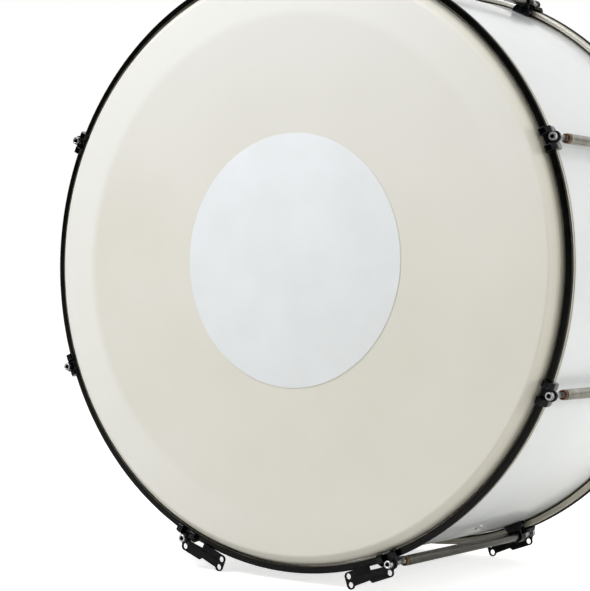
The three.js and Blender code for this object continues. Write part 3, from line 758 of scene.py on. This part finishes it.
def shell_and_rings():
    """The shell, its stiffening rings and the eyelet of its air vent."""
    wall_end = CREST_AT - (SHELL_BORE - CREST_RADIUS) * BEVEL_SLOPE
    piece = turn("lacquered_shell", [
        (SHELL_BORE, -wall_end, 0.3), (BEVEL_FOOT_RADIUS, -BEVEL_FOOT_AT, 2),
        (SHELL_RADIUS, -ROUNDOVER_AT, 3), (SHELL_RADIUS, ROUNDOVER_AT, 3),
        (BEVEL_FOOT_RADIUS, BEVEL_FOOT_AT, 2), (SHELL_BORE, wall_end, 0.3)], WHITE_LACQUER)
    piece.data.materials.append(MAPLE_SHELL)
    inside = (SHELL_RADIUS - 0.4) * MM
    for face in piece.data.polygons:
        away = face.center - AXIS
        if math.hypot(away.x, away.z) < inside:
            face.material_index = 1
    hand_over(piece, "drum_shell", "white_lacquer", "shell")
    for end, side in ENDS:
        low = CREST_AT - STIFFENER_WIDTH
        slope_end = CREST_AT - (STIFFENER_OUTER - CREST_RADIUS) * BEVEL_SLOPE
        ring = turn(f"{end}_maple_ring", towards(side, [
            (STIFFENER_INNER, low, 0.8), (STIFFENER_OUTER, low, 0.3), (STIFFENER_OUTER, slope_end, 0.2),
            (CREST_RADIUS, CREST_AT, 1), (STIFFENER_INNER, CREST_AT - 1.5, 0.8)]), MAPLE_RING)
        hand_over(ring, "drum_shell", "bare_maple", f"{end}_stiffening_ring")

    eyelet = turn("vent_grommet", [
        (VENT_BORE, -VENT_END, 0.2), (VENT_BARREL, -VENT_END, 0.2), (VENT_BARREL, FIT, 0.1),
        (VENT_FLANGE, FIT, 0.1), (VENT_FLANGE, FIT + 0.5, 0.3), (VENT_BARREL + 0.9, VENT_FLANGE_TOP, 0.6),
        (VENT_BORE, VENT_FLANGE_TOP, 0.6), (VENT_BORE, VENT_FLANGE_TOP - 0.6, 0.1)],
        BRIGHT_STEEL, place=Vector(), steps=64, corner_steps=4)
    # It was turned with its flange towards the front. It stands in the wall, flange outward.
    outward = Matrix.Rotation(-math.pi / 2, 4, "X")
    stand = Matrix.Translation(Vector((0, VENT_AT, VENT_FLAT_RADIUS)) * MM) @ outward
    eyelet.data.transform(Matrix.Translation(AXIS) @ Matrix.Rotation(VENT_ANGLE, 4, "Y") @ stand)
    hand_over(eyelet, "drum_shell", "bright_steel", "vent_eyelet")


def heads():
    """Each end's film, muffling ring, centre patch, flesh hoop and counter hoop."""
    for end, side in ENDS:
        body = f"{end}_rim"
        under = CREST_AT + FIT
        over = under + FILM
        foot, foot_at = BEVEL_FOOT_RADIUS + FIT, BEVEL_FOOT_AT + FIT
        film = turn(f"{end}_film", towards(side, [
            (0, under, 0), (CREST_RADIUS, under, 4), (foot, foot_at, 3), (COLLAR_INNER, ROUNDOVER_AT, 2),
            (COLLAR_INNER, FLESH_HOOP_BACK, 0.1), (COLLAR_OUTER, FLESH_HOOP_BACK, 0.1),
            (COLLAR_OUTER, ROUNDOVER_AT, 2.5), (foot + FILM, foot_at + FILM, 3.5),
            (CREST_RADIUS + FILM, over, 4.5), (0, over, 0)]), CREAM_FILM, closed=False, corner_steps=6)
        hand_over(film, body, "cream_film", f"{end}_head_film")

        muffler = turn(f"{end}_muffler", towards(side, [
            (MUFFLER_INNER, CREST_AT - FILM, 0.1), (MUFFLER_OUTER, CREST_AT - FILM, 0.1),
            (MUFFLER_OUTER, CREST_AT, 0.1), (MUFFLER_INNER, CREST_AT, 0.1)]), MUFFLER_FILM, corner_steps=1)
        hand_over(muffler, body, "pale_film", f"{end}_muffling_ring")

        off = FRONT_PATCH_OFF if side == FRONT else Vector()
        patch = turn(f"{end}_patch", towards(side, [
            (0, PATCH_BACK, 0), (PATCH_RADIUS, PATCH_BACK, 0.05), (PATCH_RADIUS, PATCH_FACE, 0.25),
            (0, PATCH_FACE, 0)]), PATCH_FILM, place=AXIS + off, closed=False)
        hand_over(patch, body, "pale_film", f"{end}_centre_patch")

        # A rolled channel: a gap beside the film, a rounded lip, and two shallow grooves in its wall.
        wall, groove = FLESH_HOOP_RADIUS, FLESH_HOOP_RADIUS - GROOVE_DEPTH
        grooves = [(radius, middle + off, corner) for middle in (GROOVE_AT, GROOVE_AT + GROOVE_STEP)
                   for radius, off, corner in (
                       (wall, -GROOVE_MOUTH_HALF, 0.2), (groove, -GROOVE_FLOOR_HALF, 0.1),
                       (groove, GROOVE_FLOOR_HALF, 0.1), (wall, GROOVE_MOUTH_HALF, 0.2))]
        channel = turn(f"{end}_channel", towards(side, [
            (RIM_INNER, CHANNEL_FLOOR, 0.2), (CHANNEL_GAP, CHANNEL_FLOOR, 0.3),
            (CHANNEL_GAP, FLESH_HOOP_BACK, 0.6), (wall, FLESH_HOOP_BACK, 1.6), *grooves,
            (wall, FLESH_HOOP_FACE, 0.6), (RIM_INNER, FLESH_HOOP_FACE, 0.4)]), ALUMINIUM)
        hand_over(channel, body, "satin_aluminium", f"{end}_flesh_hoop")

        hoop = turn(f"{end}_hoop", towards(side, [
            (HOOP_INNER, HOOP_BACK, 0.8), (HOOP_RADIUS, HOOP_BACK, 1.4),
            (HOOP_RADIUS, HOOP_FACE, 1.4), (HOOP_INNER, HOOP_FACE, 0.9)]), ENAMEL, corner_steps=5)
        hand_over(hoop, body, "black_enamel", f"{end}_counter_hoop")


def hook(side, start):
    """The outline in Y and Z of a finger that goes over the hoop and lies on its face."""
    face = HOOP_FACE + FIT
    front = face + HOOK_THICKNESS
    nose = HOOK_THICKNESS / 2
    points = [(start, CLAW_INNER), (face, CLAW_INNER),
              *arc(face + nose, CLAW_INNER - HOOK_REACH + nose, nose, 180, 360, 10),
              (front, CLAW_OUTER - HOOK_SLOPE_DROP), (front - HOOK_SLOPE_RUN, CLAW_OUTER),
              (start, CLAW_OUTER)]
    return [(side * y, z) for y, z in points]


def strip(low_x, high_x, low_z, high_z):
    return [(low_x, low_z), (high_x, low_z), (high_x, high_z), (low_x, high_z)]


def front_claw():
    """The flange with its boss, two fingers over the hoop and two rounded wings beside it."""
    form = bmesh.new()
    flange = strip(-CLAW_HALF, CLAW_HALF, CLAW_INNER, CLAW_OUTER)
    block(form, flange, "Y", -HOOP_FACE, -FLANGE_BACK)
    below = 41
    round_boss = arc(0, SCREW_RADIUS, BOSS_RADIUS, -below, 180 + below, 30)
    boss = [(x, max(z, CLAW_INNER)) for x, z in round_boss]
    block(form, boss, "Y", -HOOP_FACE, -FLANGE_BACK)
    for x in (-HOOK_MIDDLE, HOOK_MIDDLE):
        block(form, hook(FRONT, FLANGE_BACK), "X", x - HOOK_HALF, x + HOOK_HALF)
    inset, turn_at = WING_HALF - WING_CORNER, -WING_END - WING_CORNER
    for x in (-WING_MIDDLE, WING_MIDDLE):
        tongue = [(x - WING_HALF, -HOOP_FACE), (x + WING_HALF, -HOOP_FACE),
                  *arc(x + inset, turn_at, WING_CORNER, 0, 90, 8),
                  *arc(x - inset, turn_at, WING_CORNER, 90, 180, 8)]
        block(form, tongue, "Z", CLAW_INNER, WING_OUTER)
    cuts = bmesh.new()
    rod(cuts, SCREW_BORE, -HOOP_FACE - 1, -FLANGE_BACK + 1)
    part = cast("front_claw", form, cuts)
    places = [vertex.co / MM for vertex in part.data.vertices]
    # Painted sheen: the wings' outer faces are made paler, as if they mirrored the bright room.
    mark(part.data, "bright", [
        WING_PAINTED_SHEEN if -y < FLANGE_BACK - 0.8 and z > WING_OUTER - 0.3 else 0 for _, y, z in places])
    return part


def rear_claw():
    """A saddle just off the shell that holds the tube's end, a web with two fingers, a barrel and its
    cap."""
    form = bmesh.new()
    below = 25
    ring = arc(0, SCREW_RADIUS, SOCKET_RING, -below, 180 + below, 28)
    heel, waist, web = FOOT_INNER + 5, 5, 1.6
    foot = [(-BLOCK_HALF, FOOT_INNER), (BLOCK_HALF, FOOT_INNER), (BLOCK_HALF, heel), *ring,
            (-BLOCK_HALF, heel)]
    block(form, foot, "Y", BLOCK_FRONT, FOOT_BACK)
    shoulder = [(-BLOCK_HALF + 2, BLOCK_INNER), (BLOCK_HALF - 2, BLOCK_INNER), *ring]
    block(form, shoulder, "Y", FOOT_BACK - 1, BLOCK_BACK)
    for low, high, outer in ((-BLOCK_HALF, -waist, CLAW_OUTER), (waist, BLOCK_HALF, CLAW_OUTER),
                             (-waist - 1, waist + 1, CLAW_INNER + web)):
        block(form, strip(low, high, CLAW_INNER, outer), "Y", BLOCK_BACK - 1.5, HOOP_FACE)
    rod(form, BARREL_RADIUS, BLOCK_BACK - 1, CAP_FRONT + 1)
    rod(form, CAP_RADIUS, CAP_FRONT, BARREL_END)
    for x in (-HOOK_MIDDLE, HOOK_MIDDLE):
        block(form, hook(REAR, BLOCK_BACK), "X", x - HOOK_HALF, x + HOOK_HALF)
    cuts = bmesh.new()
    rod(cuts, TUBE_RADIUS + FIT, BLOCK_FRONT - 1, BLOCK_FRONT + SOCKET_DEPTH)
    rod(cuts, SCREW_BORE, PLATE_SCREW_SEAT - PLATE_SCREW_SHANK - 0.6, BARREL_END + 1)
    part = cast("rear_claw", form, cuts)
    # The barrel between the saddle and the cap is marked for its bright finish
    bright = []
    for vertex in part.data.vertices:
        x, at, z = vertex.co / MM
        between = BLOCK_BACK + 0.4 < at < CAP_FRONT - 0.2 and z > CLAW_INNER + 2
        bright.append(float(between and math.hypot(x, z - SCREW_RADIUS) < BARREL_RADIUS + 0.3))
    mark(part.data, "bright", bright)
    return part


def hexagon(angle):
    return HEX_APOTHEM / math.cos(math.fmod(angle, math.pi / 3) - math.pi / 6)


def knurled(radius):
    """The side of a screw head: fine straight ribs that a hand can grip."""
    return lambda angle: radius - KNURL_DEPTH * (0.5 + 0.5 * math.cos(angle * KNURL_RIBS))


def cap_screw(name, side, seat, shank_length, thread_length):
    """A socket head screw on the station's screw line, with a rolled thread at its end."""
    steps = 48

    def thread(at):
        def radius(angle):
            phase = (at / THREAD_PITCH + side * angle / math.tau) % 1
            return SHANK - THREAD_DEPTH * (1 - abs(2 * phase - 1))
        return radius
    tip = seat - shank_length
    thread_end = tip + thread_length
    thread_start, threaded, rings_per_pitch = tip + 0.8, thread_length - 1.2, 5
    turns = [thread_start + i * THREAD_PITCH / rings_per_pitch
             for i in range(int(threaded * rings_per_pitch))]
    top = seat + HEAD_HEIGHT
    floor = top - HEX_DEPTH
    ribs, between_ribs, shank = knurled(HEAD_RADIUS), HEAD_RADIUS - KNURL_DEPTH, SHANK - 0.02
    # Each ring is (at, radius, how much oil and painted shade darken it)
    sections = [
        (tip, TIP_RADIUS, 0.4), (tip + 0.4, TIP_RADIUS + 0.25, 0.4),
        *[(at, thread(at), 0.45) for at in turns],
        (thread_end, SHANK - 0.25, 0.4), (thread_end + 0.5, shank, 0.3), (seat - 0.3, shank, 0.35),
        (seat, SHANK, 0.5), (seat, HEAD_RADIUS - 0.35, 0.6), (seat + 0.35, between_ribs, 0.4),
        (seat + 0.6, ribs, 0.15), (top - 1.3, ribs, 0.15), (top - 1.1, between_ribs, 0.5),
        (top - 0.7, HEAD_RADIUS - 0.2, 0.75), (top - 0.25, HEAD_RADIUS - 0.5, 0.6),
        (top, HEAD_RADIUS - 0.8, 0), (top, HEX_APOTHEM + 0.5, 0),
        # Painted shade: darker down the key's recess to its floor.
        (top - 0.3, lambda angle: hexagon(angle) + 0.04, 0.1), (top - 1, hexagon, 0.85),
        (floor + 0.1, hexagon, 1), (floor, hexagon, 1)]
    form = rings([(side * at, radius) for at, radius, _ in sections], steps)
    bmesh.ops.translate(form, verts=form.verts, vec=SCREW_LINE)
    part = solid(form, name)
    oil_and_shade = [oil_and_shade for _, _, oil_and_shade in sections for _ in range(steps)]
    mark(part.data, "grime_and_shade", oil_and_shade + [sections[0][2], sections[-1][2]])
    return part


def tension_lines():
    """Claws, tubes, inserts and screws at the eight stations."""
    for end, part in (("front", front_claw()), ("rear", rear_claw())):
        at_stations(f"{end}_claws", part, ALL_STATIONS, CASTING, f"{end}_rim", "black_casting",
                    end + "_claw_{}", CAST_SMOOTH)

    tube_inner = TUBE_RADIUS - 1
    part = turn("tube_part", [
        (tube_inner, TUBE_FRONT, 0.2), (TUBE_RADIUS, TUBE_FRONT, 0.4), (TUBE_RADIUS, -TUBE_BACK, 0.3),
        (tube_inner, -TUBE_BACK, 0.2)], SATIN_TUBE, place=SCREW_LINE, steps=48)
    tubes = at_stations("tension_tubes", part, ALL_STATIONS, SATIN_TUBE, "rear_rim", "satin_tube",
                        "tension_tube_{}")
    # Painted shade: the lowest tubes are darkened, as if reflecting dark surroundings below them.
    mark(tubes.data, "grime_and_shade", [
        LOW_TUBE_SHADE if vertex.co.z < LOW_TUBE_TOP * MM else 0 for vertex in tubes.data.vertices])

    plug_end, groove = TUBE_FRONT - INSERT_PLUG, COLLAR_RADIUS - 0.5
    part = turn("insert_part", [
        (SCREW_BORE, plug_end, 0.1), (PLUG_RADIUS, plug_end, 0.3), (PLUG_RADIUS, TUBE_FRONT + FIT, 0.1),
        (COLLAR_RADIUS, TUBE_FRONT + FIT, 0.3), (COLLAR_RADIUS, TUBE_FRONT + 1.4, 0.2),
        (groove, TUBE_FRONT + 1.8, 0.1), (groove, TUBE_FRONT + 2.4, 0.1),
        (COLLAR_RADIUS, TUBE_FRONT + 2.8, 0.2), (COLLAR_RADIUS, INSERT_FACE - 0.5, 0.6),
        (COLLAR_RADIUS - 0.9, INSERT_FACE, 0.5), (SCREW_BORE, INSERT_FACE, 0.3)],
        COPPER_BRASS, place=SCREW_LINE, steps=48)
    at_stations("threaded_inserts", part, ALL_STATIONS, COPPER_BRASS, "rear_rim", "copper_brass",
                "threaded_insert_{}")

    for n in ALL_STATIONS:
        seat = SCREW_SEAT + (PLATE + FIT if n in BOTTOM_STATIONS else 0)
        part = cap_screw("cap_screw_part", FRONT, seat, SCREW_SHANK, THREAD_LENGTH)
        at_stations(f"cap_screw_{n}", part, [n], BRIGHT_STEEL, f"screw_{n}", "bright_steel",
                    "tension_screw_{}")
    for n, (hand, _) in BOTTOM_STATIONS.items():
        part = cap_screw("plate_screw_part", REAR, PLATE_SCREW_SEAT, PLATE_SCREW_SHANK,
                         PLATE_THREAD_LENGTH)
        at_stations(f"rear_{hand}_cap_screw", part, [n], BRIGHT_STEEL, "rear_rim", "bright_steel",
                    f"rear_{hand}_plate_screw")


def plate_blank(way):
    """The carrier plate's outline and holes, from the screw's axis: along the hoop, and outward."""
    neck, lobe, hole, steps = 5.6, 5.2, 3.5, 40
    near, far, foot = (4.9, 9), (60, -3.7), (60.6, 6.5)
    edge = 9.2
    foot_end = 180 - math.degrees(math.asin((edge - foot[1]) / lobe))
    outline = [
        *arc(0, 0, neck, 180, 360, 20), (neck, -0.2), (14.3, -0.2), (28.3, -1.7), (29, -2.5), (29, -7.7),
        (29.6, -8.2), *arc(*far, lobe, -90, 0, 10), *arc(*foot, lobe, 0, foot_end, 18),
        (34.3, edge), (33.7, 9.4), (31.3, 12.7), (30.7, 13), (21, 13.45), *arc(*near, lobe, 90, 180, 10)]
    holes = [arc(*middle, radius, 360, 360 / steps, steps - 1) for middle, radius in (
        ((0, 0), SCREW_BORE), (near, hole), (far, hole), (foot, hole))]
    return [[(way * x, z + SCREW_RADIUS) for x, z in loop] for loop in [outline, *holes]]


def carrier_plates():
    """Pressed steel plates with rounded rims, clamped under the screws at the two lowest stations."""
    for number, (hand, way) in BOTTOM_STATIONS.items():
        clock = Matrix.Rotation(STATIONS[number - 1], 4, "Y")
        for end, side, back in (("front", FRONT, HOOP_FACE + FIT), ("rear", REAR, REAR_PLATE_BACK)):
            curve = bpy.data.curves.new("plate", "CURVE")
            curve.dimensions = "2D"
            curve.fill_mode = "BOTH"
            curve.extrude = (PLATE / 2 - PLATE_RIM) * MM
            curve.bevel_depth = PLATE_RIM * MM
            curve.bevel_resolution = 2
            curve.offset = -PLATE_RIM * MM
            for loop in plate_blank(way):
                spline = curve.splines.new("POLY")
                spline.points.add(len(loop) - 1)
                for point, (x, z) in zip(spline.points, loop):
                    point.co = (x * MM, z * MM, 0, 1)
                spline.use_cyclic_u = True
            plate = baked(new_object("plate", curve), f"{end}_{hand}_plate", PLATE_SMOOTH)
            middle = side * (back + PLATE / 2) * MM
            stand = Matrix.Translation((0, middle, 0)) @ Matrix.Rotation(math.pi / 2, 4, "X")
            plate.data.transform(Matrix.Translation(AXIS) @ clock @ stand)
            plate.data.materials.clear()
            plate.data.materials.append(PLATE_COAT)
            hand_over(plate, f"{end}_rim", "black_casting", f"{end}_{hand}_carrier_plate")


look()
studio()

WHITE_LACQUER = material("polished white lacquer", white_lacquer)
MAPLE_SHELL = material("sanded maple veneer", bare_maple, SHELL_BORE * MM)
MAPLE_RING = material("maple ring", bare_maple, STIFFENER_INNER * MM)
CREAM_FILM = material("coated cream polyester film", cream_film)
MUFFLER_FILM = material("thin muffling film", pale_film, "#DCDCD6", "#E4E4DF")
PATCH_FILM = material("laminated white film", pale_film, "#E1E4E3", "#E5E8E8")
ENAMEL = material("stoved black enamel", black_enamel)
CASTING = material("black nickelled zinc casting", black_nickel)
PLATE_COAT = material("powder coated steel sheet", black_coat)
ALUMINIUM = material("anodised aluminium channel", satin_aluminium)
SATIN_TUBE = material("satin aluminium tube", drawn_metal, "#918F87", "#AAA89F", 0.12, 0.24, (1, 0.02, 1))
COPPER_BRASS = material("turned brass", drawn_metal, "#5C4230", "#86694F", 0.2, 0.34, (1, 1, 1))
BRIGHT_STEEL = material("zinc plated steel", drawn_metal, "#C9CACB", "#DEDFE0", 0.2, 0.36, (1, 1, 1))

TURNING = turning_tree()
STATION_RING = stations_tree()

shell_and_rings()
heads()
tension_lines()
carrier_plates()
